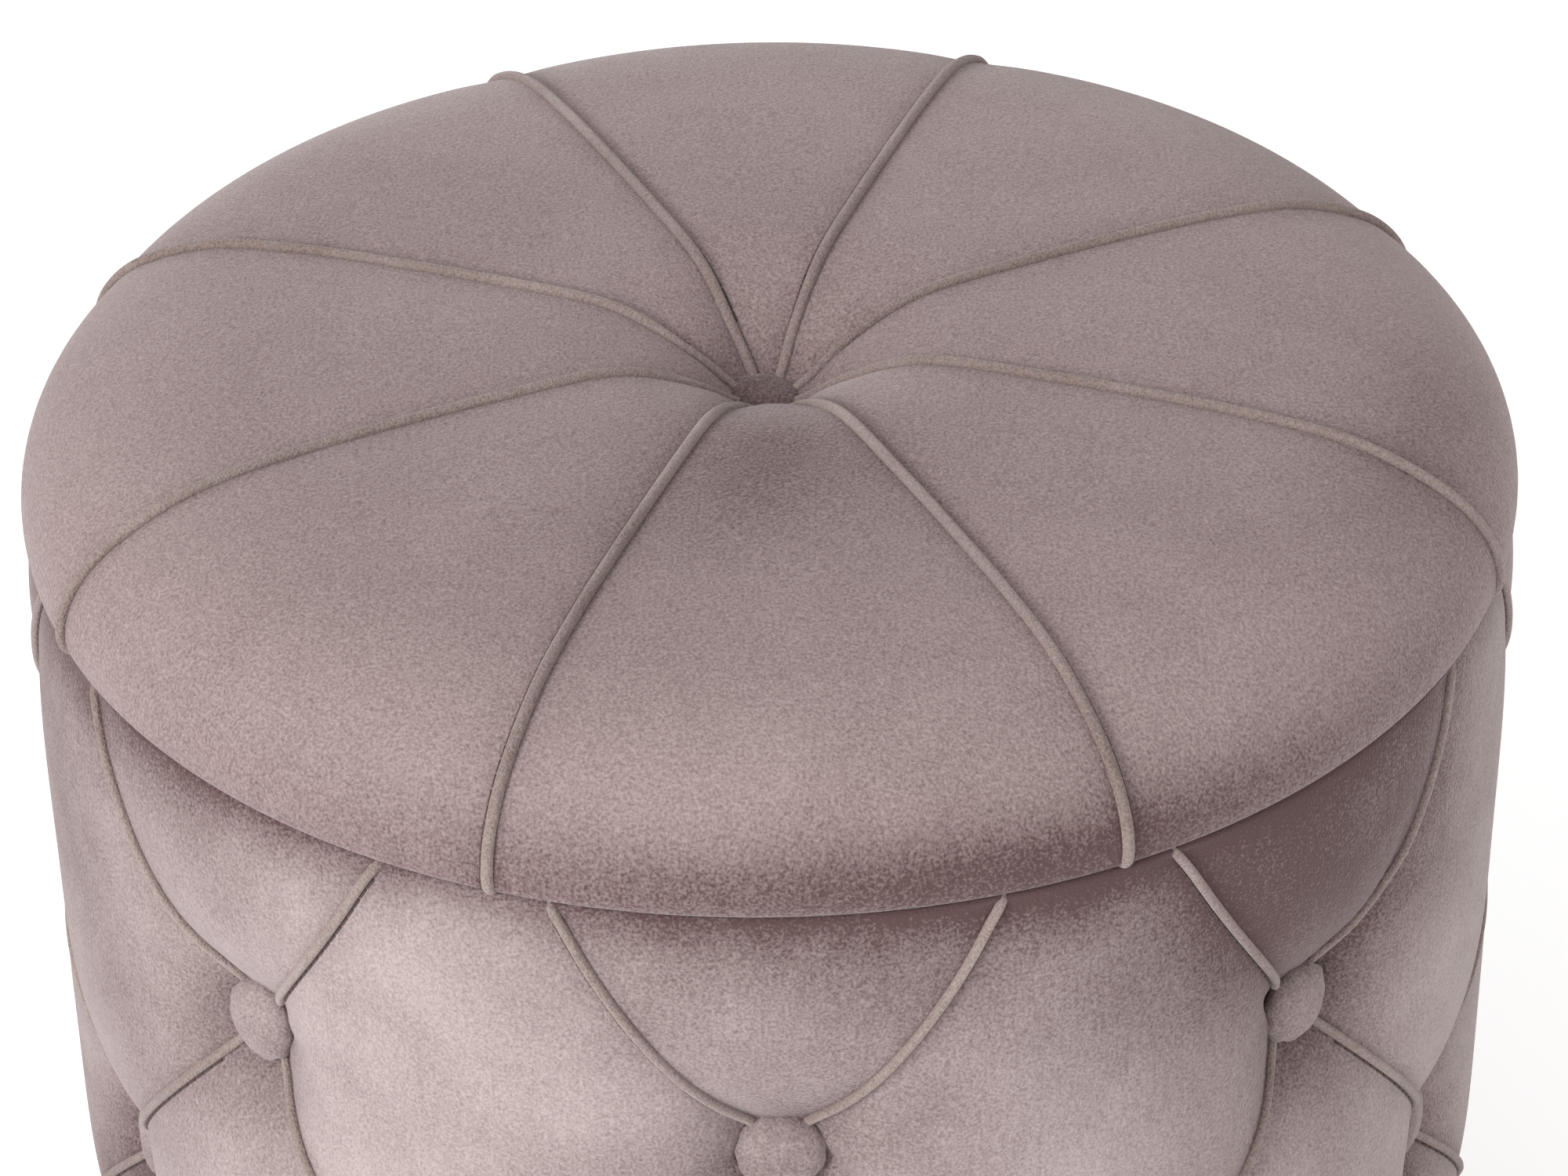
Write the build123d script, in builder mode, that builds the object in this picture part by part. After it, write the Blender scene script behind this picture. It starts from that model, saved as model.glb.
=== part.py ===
from build123d import *
import math
import os

os.makedirs("parts", exist_ok=True)

# A round storage ottoman. Millimetres, +Z up, the floor at z = 0, the drum's axis on Z, the front at -Y.
# Azimuths are in degrees from the front, turning towards +X.

# Driving dimensions
foot_height = 14.4
drum_rim_z = 392.7  # top of the fabric on the drum's rim
cover_thickness = 1.2
lining_thickness = 0.6
cover_radius = 220.2  # outside of the drum's cover between its buttons
padding_radius = cover_radius - cover_thickness
panel_radius = 200.0
panel_thickness = 3.0
frame_radius = panel_radius - panel_thickness
frame_depth = 18.0  # rim ring and posts, across the wall
mouth_radius = frame_radius - frame_depth
board_thickness = 12.0
edge_round = 5.0

columns = 8  # columns of buttons, and seams of the lid
column_angle = 360 / columns
button_row_drop = 90.0  # rim to the first row of buttons
button_row_pitch = 102.0
button_radius = 12.5
button_dome = 5.5
button_back = 0.8
piping_radius = 1.7

lid_gap = 0.3
lid_bottom_z = drum_rim_z + lid_gap
lid_radius = 219.3
lid_crown = 46.0
lid_turn = 2.4  # the loose lid sits turned by this much
wadding_thickness = 5.0
locating_radius = 171.0
locating_depth = 9.0
fabric_turned_under = 40.0
fabric_turned_in = 17.0  # down the inside of the mouth

twine_radius = 1.0
knot_radius = 2.2
washer_radius = 11.0
washer_thickness = 1.6
screw_radius = 2.0
screw_head_radius = 4.0
screw_head_height = 2.3
running_room = 0.1

# Levels worked out from them, from the floor up
dust_cover_z = foot_height
hem_z = dust_cover_z + lining_thickness
board_z = hem_z + cover_thickness
board_top_z = board_z + board_thickness
frame_top_z = drum_rim_z - cover_thickness
ring_bottom_z = frame_top_z - frame_depth
floor_panel_thickness = 3.0
floor_top_z = board_top_z + floor_panel_thickness
liner_thickness = 2.0
liner_outer_radius = mouth_radius - cover_thickness
liner_inner_radius = liner_outer_radius - liner_thickness
liner_drop = 7.0  # rim to the top edge of the liner
liner_top_z = drum_rim_z - liner_drop

# Buttons: rows one and three stand over the front, row two half a column round
button_rows = [drum_rim_z - button_row_drop - button_row_pitch * row for row in range(3)]
dimple_floor = 204.2  # outside of the cover under a button
dimple_slope = 1.29  # how fast a dimple widens towards the outside
post_azimuths = [column_angle / 4 + column_angle * post for post in range(columns)]


def at(azimuth, z, radius):
    """A point at an azimuth from the front."""
    turn = math.radians(azimuth)
    return (radius * math.sin(turn), -radius * math.cos(turn), z)


def facing_out(azimuth, z, radius):
    """A plane at that point, whose normal points away from the drum's axis."""
    turn = math.radians(azimuth)
    return Plane(
        origin=at(azimuth, z, radius),
        x_dir=(math.cos(turn), math.sin(turn), 0),
        z_dir=(math.sin(turn), -math.cos(turn), 0),
    )


def button_places():
    """Azimuth and height of each button of the drum."""
    places = []
    for row, height in enumerate(button_rows):
        start = column_angle / 2 if row == 1 else 0
        for column in range(columns):
            places.append((start + column_angle * column, height))
    return places


def button_planes(radius):
    return [facing_out(azimuth, height, radius) for azimuth, height in button_places()]


def save(part, name):
    part.label = name
    export_step(part, f"parts/{name}.step")


def disc(bottom_z, thickness, radius, hole_radius=0):
    with BuildPart() as plate:
        with BuildSketch(Plane.XY.offset(bottom_z)):
            Circle(radius)
            if hole_radius:
                Circle(hole_radius, mode=Mode.SUBTRACT)
        extrude(amount=thickness)
    return plate.part


# The frame: base board, rim ring, eight posts between them, and a hardboard panel wrapped round
post_places = [at(azimuth, 0, mouth_radius + frame_depth / 2) for azimuth in post_azimuths]
foot_circle = 150.0
foot_places = [at(column_angle + 90 * foot, 0, foot_circle) for foot in range(4)]

with BuildPart() as base_board:
    add(disc(board_z, board_thickness, frame_radius))
    with Locations(*[(x, y, board_z) for x, y, z in post_places]):
        Cone(
            screw_head_radius + running_room,
            screw_radius + running_room,
            screw_head_height,
            align=(Align.CENTER, Align.CENTER, Align.MIN),
            mode=Mode.SUBTRACT,
        )
        Cylinder(
            screw_radius + running_room,
            board_thickness,
            align=(Align.CENTER, Align.CENTER, Align.MIN),
            mode=Mode.SUBTRACT,
        )
save(base_board.part, "base_board")

with BuildPart() as rim_ring:
    add(disc(ring_bottom_z, frame_depth, frame_radius, mouth_radius))
    with Locations(*[(x, y, frame_top_z) for x, y, z in post_places]):
        CounterSinkHole(screw_radius + running_room, screw_head_radius + running_room)
save(rim_ring.part, "rim_ring")

with BuildPart() as frame_posts:
    with BuildSketch(Plane.XY.offset(board_top_z)):
        with Locations(*[(x, y) for x, y, z in post_places]):
            Circle(frame_depth)
        Circle(frame_radius, mode=Mode.INTERSECT)
        Circle(mouth_radius, mode=Mode.SUBTRACT)
    extrude(amount=ring_bottom_z - board_top_z)
save(frame_posts.part, "frame_posts")

with BuildPart() as frame_panel:
    add(disc(board_z, frame_top_z - board_z, panel_radius, frame_radius))
    with Locations(*button_planes(frame_radius - 1)):
        Cylinder(
            twine_radius * 2,
            panel_thickness + 2,
            align=(Align.CENTER, Align.CENTER, Align.MIN),
            mode=Mode.SUBTRACT,
        )
    with Locations(facing_out(post_azimuths[4], board_z, frame_radius - 1)):
        Box(
            1.0,
            2 * frame_top_z,
            panel_thickness + 2,
            align=(Align.CENTER, Align.CENTER, Align.MIN),
            mode=Mode.SUBTRACT,
        )
save(frame_panel.part, "frame_panel")


# The padding round the panel and its velvet cover, both pulled in at each button
def dimple_radius(radius, outset=0):
    """Half-width of a button's dimple at a distance from the drum's axis."""
    return button_radius + 0.9 + (radius - dimple_floor) * dimple_slope + outset


def cut_dimples(floor, outset):
    """Cuts every dimple, and the twine's hole in its floor, from the part being built."""
    beyond = cover_radius + edge_round
    with Locations(*button_planes(floor)):
        Cone(
            dimple_radius(floor, outset),
            dimple_radius(beyond, outset),
            beyond - floor,
            align=(Align.CENTER, Align.CENTER, Align.MIN),
            mode=Mode.SUBTRACT,
        )
    with Locations(*button_planes(panel_radius - 1)):
        Cylinder(
            twine_radius + running_room,
            dimple_floor - panel_radius + 2,
            align=(Align.CENTER, Align.CENTER, Align.MIN),
            mode=Mode.SUBTRACT,
        )


with BuildPart() as body_padding:
    with BuildSketch(Plane.XZ) as padding_section:
        with Locations(((panel_radius + padding_radius) / 2, (board_z + frame_top_z) / 2)):
            Rectangle(padding_radius - panel_radius, frame_top_z - board_z)
        outer_corners = padding_section.vertices().sort_by(Axis.X)[-2:]
        fillet(outer_corners, edge_round - cover_thickness)
    revolve(axis=Axis.Z)
    cut_dimples(dimple_floor - cover_thickness, cover_thickness * math.hypot(1, dimple_slope))
save(body_padding.part, "body_padding")

turned_in_z = drum_rim_z - fabric_turned_in
turned_under_radius = panel_radius - fabric_turned_under

with BuildPart() as body_cover:
    with BuildSketch(Plane.XZ) as cover_section:
        with BuildLine():
            Polyline(
                (liner_outer_radius, turned_in_z),
                (liner_outer_radius, drum_rim_z),
                (cover_radius, drum_rim_z),
                (cover_radius, hem_z),
                (turned_under_radius, hem_z),
                (turned_under_radius, board_z),
                (panel_radius, board_z),
                (panel_radius, frame_top_z),
                (mouth_radius, frame_top_z),
                (mouth_radius, turned_in_z),
                close=True,
            )
        make_face()
        fillet(cover_section.vertices().sort_by(Axis.X)[-2:], edge_round)
    revolve(axis=Axis.Z)
    cut_dimples(dimple_floor, 0)
    add(body_padding.part, mode=Mode.SUBTRACT)
save(body_cover.part, "body_cover")


# Piping sewn into the cover's seams: one run of cord from button to button
def piping_run(start, middle, end):
    with BuildPart() as run:
        with BuildLine() as path:
            ThreePointArc(start, middle, end)
        with BuildSketch(Plane(origin=path.line @ 0, z_dir=path.line % 0)):
            Circle(piping_radius)
        sweep()
    return run.part


def beside_button(azimuth, height, towards_azimuth, towards_height):
    """Where a run of piping starts, just clear of the button on its way to the next one."""
    across = math.radians(towards_azimuth - azimuth) * dimple_floor
    up = towards_height - height
    share = (button_radius + piping_radius + 0.3) / math.hypot(across, up)
    return at(
        azimuth + share * (towards_azimuth - azimuth),
        height + share * up,
        dimple_floor + piping_radius,
    )


half_column = column_angle / 2
edge_lean = 15.5  # how far round a run has come where it meets the rim or the hem
seam_radius = cover_radius + 0.6
edge_room = 3.0

with BuildPart() as body_piping:
    for azimuth, height in button_places():
        for side in (-half_column, half_column):
            if height == button_rows[0]:
                edge_z, lean = drum_rim_z - edge_room, side / half_column * edge_lean
            elif height == button_rows[2]:
                edge_z, lean = hem_z + edge_room, side / half_column * edge_lean
            else:
                continue
            run_start = beside_button(azimuth, height, azimuth + side, edge_z)
            run_middle = at(azimuth + 0.72 * lean, (height + edge_z) / 2, seam_radius)
            add(piping_run(run_start, run_middle, at(azimuth + lean, edge_z, seam_radius - 0.6)))
            next_height = button_rows[1]
            run_start = beside_button(azimuth, height, azimuth + side, next_height)
            run_middle = at(azimuth + side / 2, (height + next_height) / 2, seam_radius)
            run_end = beside_button(azimuth + side, next_height, azimuth, height)
            add(piping_run(run_start, run_middle, run_end))
save(body_piping.part, "body_piping")


# Covered buttons: a domed cap pressed onto a back plate, tied through the padding to a washer
def button_cap():
    """Cap at the origin, its rim on z = 0 and its dome upwards."""
    dome_radius = (button_radius**2 + button_dome**2) / (2 * button_dome)
    with BuildPart() as cap:
        with Locations((0, 0, button_dome - dome_radius)):
            Sphere(dome_radius)
            Sphere(dome_radius - 1.0, mode=Mode.SUBTRACT)
        split(bisect_by=Plane.XY, keep=Keep.TOP)
    return cap.part


def button_back_plate():
    return disc(0, button_back, button_radius - 1.2, twine_radius + running_room)


def tied_twine(length):
    """Twine from z = 0 up to a knot above the back plate, with a knot below its lower end."""
    with BuildPart() as twine:
        Cylinder(
            twine_radius,
            length,
            align=(Align.CENTER, Align.CENTER, Align.MIN),
        )
        with Locations((0, 0, length), (0, 0, 0)):
            Sphere(knot_radius)
    return twine.part


washer = disc(0, washer_thickness, washer_radius, twine_radius + running_room)
washer_seat = frame_radius - washer_thickness - 0.5
knot_rise = button_back + knot_radius

with BuildPart() as body_button_caps:
    with Locations(*button_planes(dimple_floor + button_back)):
        add(button_cap())
save(body_button_caps.part, "body_button_caps")

with BuildPart() as body_button_backs:
    with Locations(*button_planes(dimple_floor)):
        add(button_back_plate())
save(body_button_backs.part, "body_button_backs")

with BuildPart() as body_button_washers:
    with Locations(*button_planes(washer_seat)):
        add(washer)
save(body_button_washers.part, "body_button_washers")

with BuildPart() as body_button_twines:
    with Locations(*button_planes(washer_seat - knot_radius)):
        add(tied_twine(dimple_floor + knot_rise - washer_seat + knot_radius))
save(body_button_twines.part, "body_button_twines")

# The storage space: a cloth-faced card liner and a lined hardboard floor
save(disc(board_top_z, liner_top_z - board_top_z, liner_outer_radius, liner_inner_radius), "storage_liner")
floor_radius = liner_inner_radius - 0.3
save(disc(board_top_z, floor_panel_thickness, floor_radius), "storage_floor")
save(disc(floor_top_z, lining_thickness, floor_radius), "floor_lining")

# Underneath: a black dust cover and four plastic feet, each held by one screw
dust_cover_radius = frame_radius - 2
with BuildPart() as dust_cover:
    add(disc(dust_cover_z, lining_thickness, dust_cover_radius))
    with Locations(*[(x, y, dust_cover_z) for x, y, z in foot_places]):
        Cylinder(screw_radius + running_room, 4 * lining_thickness, mode=Mode.SUBTRACT)
save(dust_cover.part, "dust_cover")

foot_top_radius = 20.0
foot_sole_radius = 17.0
foot_recess_radius = 6.0
foot_recess_depth = 8.0

with BuildPart() as feet:
    with Locations(*foot_places):
        Cone(
            foot_sole_radius,
            foot_top_radius,
            foot_height,
            align=(Align.CENTER, Align.CENTER, Align.MIN),
        )
    fillet(feet.edges().group_by(Axis.Z)[0], 1.5)
    with Locations(*foot_places):
        Cylinder(
            foot_recess_radius,
            foot_recess_depth,
            align=(Align.CENTER, Align.CENTER, Align.MIN),
            mode=Mode.SUBTRACT,
        )
        Cylinder(
            screw_radius + running_room,
            foot_height,
            align=(Align.CENTER, Align.CENTER, Align.MIN),
            mode=Mode.SUBTRACT,
        )
save(feet.part, "feet")

foot_screw_head = 3.0
foot_screw_end_z = board_top_z - 2.0
with BuildPart() as foot_screws:
    with Locations(*[(x, y, foot_recess_depth) for x, y, z in foot_places]):
        Cylinder(
            screw_head_radius + 0.6,
            foot_screw_head,
            align=(Align.CENTER, Align.CENTER, Align.MAX),
        )
        Cylinder(
            screw_radius,
            foot_screw_end_z - foot_recess_depth,
            align=(Align.CENTER, Align.CENTER, Align.MIN),
        )
save(foot_screws.part, "foot_screws")


def countersunk_screw(length):
    """Screw at the origin, its flat head face on z = 0 and its shank upwards."""
    with BuildPart() as screw:
        Cone(
            screw_head_radius,
            screw_radius,
            screw_head_height,
            align=(Align.CENTER, Align.CENTER, Align.MIN),
        )
        Cylinder(
            screw_radius,
            length,
            align=(Align.CENTER, Align.CENTER, Align.MIN),
        )
    return screw.part


frame_screw_length = 45.0
with BuildPart() as frame_screws:
    for x, y, z in post_places:
        with Locations(Plane((x, y, board_z)), Plane((x, y, frame_top_z), z_dir=(0, 0, -1))):
            add(countersunk_screw(frame_screw_length))
save(frame_screws.part, "frame_screws")


staple_crown = 10.0
staple_width = 1.0
staple_wire = 0.5
staple_leg = 6.5


def staples(planes):
    """Wire staples, each crown on its plane and its legs along the plane's normal."""
    standing = (Align.CENTER, Align.CENTER, Align.MIN)
    leg_offset = (staple_crown - staple_wire) / 2
    with BuildPart() as group:
        with Locations(*planes):
            Box(staple_crown, staple_width, staple_wire, align=standing)
            with Locations((-leg_offset, 0), (leg_offset, 0)):
                Box(staple_wire, staple_width, staple_leg, align=standing)
    return group.part


def upward_ring(count, z, radius):
    """Planes round the axis that face up, each with its x along the circle."""
    planes = []
    for index in range(count):
        azimuth = 360 * index / count
        turn = math.radians(azimuth)
        planes.append(Plane(origin=at(azimuth, z, radius), x_dir=(math.cos(turn), math.sin(turn), 0)))
    return planes


hem_staple_count = 36
rim_staple_count = 24
staple_margin = 10.0  # from the cloth's edge to the staples that hold it
dust_staple_circle = dust_cover_radius - staple_margin / 2
hem_staple_circle = turned_under_radius + staple_margin
dust_staple_planes = upward_ring(rim_staple_count, dust_cover_z - staple_wire, dust_staple_circle)
save(staples(dust_staple_planes), "dust_cover_staples")
save(staples(upward_ring(hem_staple_count, hem_z, hem_staple_circle)), "hem_staples")
liner_staple_places = [
    facing_out(360 / rim_staple_count * index, liner_top_z - 5, liner_inner_radius - staple_wire)
    for index in range(rim_staple_count)
]
save(staples(liner_staple_places), "liner_staples")


# The lid: a board, foam, wadding and the piped velvet cover, all pulled down at the middle
def lid_section(inset):
    """Half section of the lid, its skin taken off by inset, for turning about Z."""
    half_plane = Plane(origin=(0, 0, lid_bottom_z), x_dir=(1, 0, 0), z_dir=(0, -1, 0))
    with BuildSketch(half_plane) as section:
        with BuildLine():
            crown_line = FilletPolyline(*lid_outline, radius=lid_rounds)
            beyond_axis = -lid_outline[1][0]
            Polyline(crown_line @ 1, (beyond_axis, 0), (beyond_axis, lid_seat), crown_line @ 0)
        make_face()
        if inset:
            offset(amount=-inset, kind=Kind.INTERSECTION, mode=Mode.REPLACE)
        with Locations((lid_radius, 0)):
            Rectangle(2 * lid_radius, 4 * lid_crown, mode=Mode.INTERSECT)
    return section.sketch


lid_seat = 20.0  # height of the button's seat above the lid's underside
lid_outline = [
    (0, lid_seat),
    (button_radius + 2.5, lid_seat),
    (39.0, lid_crown),
    (178.0, lid_crown),
    (lid_radius, 24.0),
    (lid_radius, 0),
]
lid_rounds = [6.0, 30.0, 80.0, 24.0]
lid_board_radius = 213.0
lid_board_z = lid_bottom_z + cover_thickness
lid_board_top_z = lid_board_z + board_thickness
lid_fold_radius = 150.0  # how far in the cover is turned under the board


def drill_for_twine(radius):
    """Hole down the axis through the part being built."""
    with Locations((0, 0, lid_bottom_z)):
        Cylinder(radius, 4 * lid_crown, mode=Mode.SUBTRACT)


twine_hole_radius = 4.0
with BuildPart() as lid_board:
    add(disc(lid_board_z, board_thickness, lid_board_radius, twine_hole_radius))
save(lid_board.part, "lid_board")

with BuildPart() as lid_foam:
    add(lid_section(cover_thickness + wadding_thickness))
    revolve(axis=Axis.Z)
    split(bisect_by=Plane.XY.offset(lid_board_top_z), keep=Keep.TOP)
    drill_for_twine(twine_radius + running_room)
save(lid_foam.part, "lid_foam")

with BuildPart() as lid_wadding:
    add(lid_section(cover_thickness))
    revolve(axis=Axis.Z)
    add(lid_foam.part, mode=Mode.SUBTRACT)
    add(disc(lid_board_z, board_thickness, lid_board_radius), mode=Mode.SUBTRACT)
    drill_for_twine(twine_radius + running_room)
save(lid_wadding.part, "lid_wadding")

with BuildPart() as lid_inside:
    add(lid_section(cover_thickness))
    revolve(axis=Axis.Z)

with BuildPart() as lid_cover:
    add(lid_section(0))
    revolve(axis=Axis.Z)
    add(lid_inside.part, mode=Mode.SUBTRACT)
    add(disc(lid_bottom_z, cover_thickness, lid_fold_radius), mode=Mode.SUBTRACT)
    drill_for_twine(twine_radius + running_room)
save(lid_cover.part, "lid_cover")

with BuildPart() as lid_piping:
    for seam in range(columns):
        azimuth = lid_turn + half_column + column_angle * seam
        turn = math.radians(azimuth)
        radial = Plane(
            origin=(0, 0, lid_bottom_z),
            x_dir=(math.sin(turn), -math.cos(turn), 0),
            z_dir=(-math.cos(turn), -math.sin(turn), 0),
        )
        with BuildPart(mode=Mode.PRIVATE) as seam_run:
            with BuildLine(radial) as seam_path:
                FilletPolyline(
                    (button_radius + 3.0, lid_seat + 3.0),
                    *lid_outline[2:-1],
                    (lid_radius, edge_room),
                    radius=lid_rounds[1:],
                )
            with BuildSketch(Plane(origin=seam_path.line @ 0, z_dir=seam_path.line % 0)):
                Circle(piping_radius)
            sweep()
        add(seam_run.part)
save(lid_piping.part, "lid_piping")

lid_seat_z = lid_bottom_z + lid_seat
lid_washer_z = lid_board_z - washer_thickness

with BuildPart() as lid_button_cap:
    with Locations((0, 0, lid_seat_z + button_back)):
        add(button_cap())
save(lid_button_cap.part, "lid_button_cap")

with BuildPart() as lid_button_back:
    with Locations((0, 0, lid_seat_z)):
        add(button_back_plate())
save(lid_button_back.part, "lid_button_back")

with BuildPart() as lid_button_washer:
    with Locations((0, 0, lid_washer_z)):
        add(washer)
save(lid_button_washer.part, "lid_button_washer")

with BuildPart() as lid_button_twine:
    with Locations((0, 0, lid_washer_z - knot_radius)):
        add(tied_twine(lid_seat_z + knot_rise - lid_washer_z + knot_radius))
save(lid_button_twine.part, "lid_button_twine")

# Under the lid: a cloth-covered disc that drops into the drum's mouth and keeps the lid in place
locating_z = lid_bottom_z - locating_depth
locating_screw_circle = 110.0
locating_screw_length = 18.0
locating_screw_places = [at(60 * screw, locating_z, locating_screw_circle) for screw in range(6)]
with BuildPart() as locating_disc:
    add(disc(locating_z, locating_depth, locating_radius, washer_radius + 6))
    with Locations(*locating_screw_places):
        Cone(
            screw_head_radius + running_room,
            screw_radius + running_room,
            screw_head_height,
            align=(Align.CENTER, Align.CENTER, Align.MIN),
            mode=Mode.SUBTRACT,
        )
        Cylinder(
            screw_radius + running_room,
            locating_depth,
            align=(Align.CENTER, Align.CENTER, Align.MIN),
            mode=Mode.SUBTRACT,
        )
save(locating_disc.part, "locating_disc")

lid_lining_thickness = 0.8
with BuildPart() as lid_lining:
    add(
        disc(
            locating_z - lid_lining_thickness,
            locating_depth + lid_lining_thickness,
            locating_radius + lid_lining_thickness,
        )
    )
    add(disc(locating_z, locating_depth, locating_radius), mode=Mode.SUBTRACT)
save(lid_lining.part, "lid_lining")

with BuildPart() as locating_screws:
    with Locations(*locating_screw_places):
        add(countersunk_screw(locating_screw_length))
save(locating_screws.part, "locating_screws")

lid_staple_circle = lid_fold_radius + staple_margin
save(staples(upward_ring(hem_staple_count, lid_bottom_z, lid_staple_circle)), "lid_cover_staples")
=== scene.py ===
import math

import bpy
import numpy as np
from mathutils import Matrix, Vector
from mathutils.bvhtree import BVHTree


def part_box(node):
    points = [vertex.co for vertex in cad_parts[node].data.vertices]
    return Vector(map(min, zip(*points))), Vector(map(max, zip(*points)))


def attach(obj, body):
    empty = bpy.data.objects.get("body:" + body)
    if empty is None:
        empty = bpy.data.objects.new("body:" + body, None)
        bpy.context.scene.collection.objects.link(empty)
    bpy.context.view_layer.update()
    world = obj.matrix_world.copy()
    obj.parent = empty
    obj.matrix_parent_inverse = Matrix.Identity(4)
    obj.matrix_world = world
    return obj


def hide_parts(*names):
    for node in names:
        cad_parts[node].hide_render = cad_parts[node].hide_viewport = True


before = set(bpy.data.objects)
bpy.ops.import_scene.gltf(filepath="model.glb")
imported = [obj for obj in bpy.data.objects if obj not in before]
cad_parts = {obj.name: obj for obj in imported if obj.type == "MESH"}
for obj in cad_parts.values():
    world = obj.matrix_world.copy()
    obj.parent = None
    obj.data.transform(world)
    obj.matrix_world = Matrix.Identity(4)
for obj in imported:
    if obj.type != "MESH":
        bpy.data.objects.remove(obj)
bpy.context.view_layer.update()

# The room: a plain white floor that glows a little, as a lit studio sweep does, one large soft
# light low at the front left, a weaker one from the right and an even pale sky.
scene = bpy.context.scene
scene.view_settings.view_transform = "Standard"


def plain_material(name, colour, roughness):
    material = bpy.data.materials.new(name)
    material.use_nodes = True
    shader = material.node_tree.nodes["Principled BSDF"]
    shader.inputs["Base Color"].default_value = (*colour, 1)
    shader.inputs["Roughness"].default_value = roughness
    return material


def mesh_piece(name, points, faces, material):
    """A smooth-shaded mesh object at the origin."""
    mesh = bpy.data.meshes.new(name)
    mesh.from_pydata([tuple(point) for point in points], [], [tuple(face) for face in faces])
    mesh.materials.append(material)
    mesh.polygons.foreach_set("use_smooth", [True] * len(mesh.polygons))
    piece = bpy.data.objects.new(name, mesh)
    scene.collection.objects.link(piece)
    return piece


studio_white = plain_material("studio_white", (0.93, 0.93, 0.93), 0.9)
studio_shader = studio_white.node_tree.nodes["Principled BSDF"]
studio_shader.inputs["Emission Color"].default_value = (1, 1, 1, 1)
studio_shader.inputs["Emission Strength"].default_value = 0.35
floor_half = 6.0
floor_corners = [(x * floor_half, y * floor_half, 0) for x, y in ((-1, -1), (1, -1), (1, 1), (-1, 1))]
floor = mesh_piece("studio_floor", floor_corners, [(0, 1, 2, 3)], studio_white)

sky = bpy.data.worlds.new("studio_sky")
sky.use_nodes = True
sky.node_tree.nodes["Background"].inputs["Color"].default_value = (1.0, 0.995, 0.99, 1)
sky.node_tree.nodes["Background"].inputs["Strength"].default_value = 0.72
scene.world = sky


def soft_light(name, place, aim, size, power):
    lamp = bpy.data.lights.new(name, "AREA")
    lamp.shape = "DISK"
    lamp.size = size
    lamp.energy = power
    light = bpy.data.objects.new(name, lamp)
    light.location = place
    direction = np.subtract(aim, place)
    distance = math.hypot(*direction)
    light.rotation_euler = (math.acos(-direction[2] / distance), 0, math.atan2(-direction[0], direction[1]))
    scene.collection.objects.link(light)


soft_light("key_light", (-2.1, -2.0, 1.7), (0, 0, 0.3), 1.3, 70)
soft_light("fill_light", (2.4, -1.4, 1.2), (0, 0, 0.3), 1.6, 8)

# The camera stands in front and looks down at the lid from about 33 degrees, with a long lens,
# close enough to crop the lower drum.
camera_data = bpy.data.cameras.new("camera")
camera_data.lens = 110.84
camera_data.sensor_width = 36
camera = bpy.data.objects.new("camera", camera_data)
camera_distance = 1.435
camera_rise = math.radians(32.88)
lid_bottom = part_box("lid_cover")[0][2]
camera_height = lid_bottom + camera_distance * math.sin(camera_rise)
camera.location = (0, -camera_distance * math.cos(camera_rise), camera_height)
camera.rotation_euler = [math.radians(angle) for angle in (55.618, 0.667, -0.635)]
scene.collection.objects.link(camera)
scene.camera = camera

# Velvet: a dusty mauve short-pile upholstery cloth. Its pile lies over one way or the other, which
# reads lighter or darker: each cushion carries that lean as its nap, with painted light and shade added
# in. Patches, fine upright streaks and single tufts vary it. The same cloth covers piping and buttons.


def node(tree, kind, place, **inputs):
    made = tree.nodes.new(kind)
    made.location = place
    for name, value in inputs.items():
        made.inputs[name.replace("_", " ")].default_value = value
    return made


def math_node(tree, operation, place, first, second, third=0.0, clamp=False):
    """A maths node; its inputs are sockets or numbers."""
    made = tree.nodes.new("ShaderNodeMath")
    made.operation = operation
    made.use_clamp = clamp
    made.location = place
    for socket, value in zip(made.inputs, (first, second, third)):
        if isinstance(value, (int, float)):
            socket.default_value = value
        else:
            tree.links.new(value, socket)
    return made.outputs[0]


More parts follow.
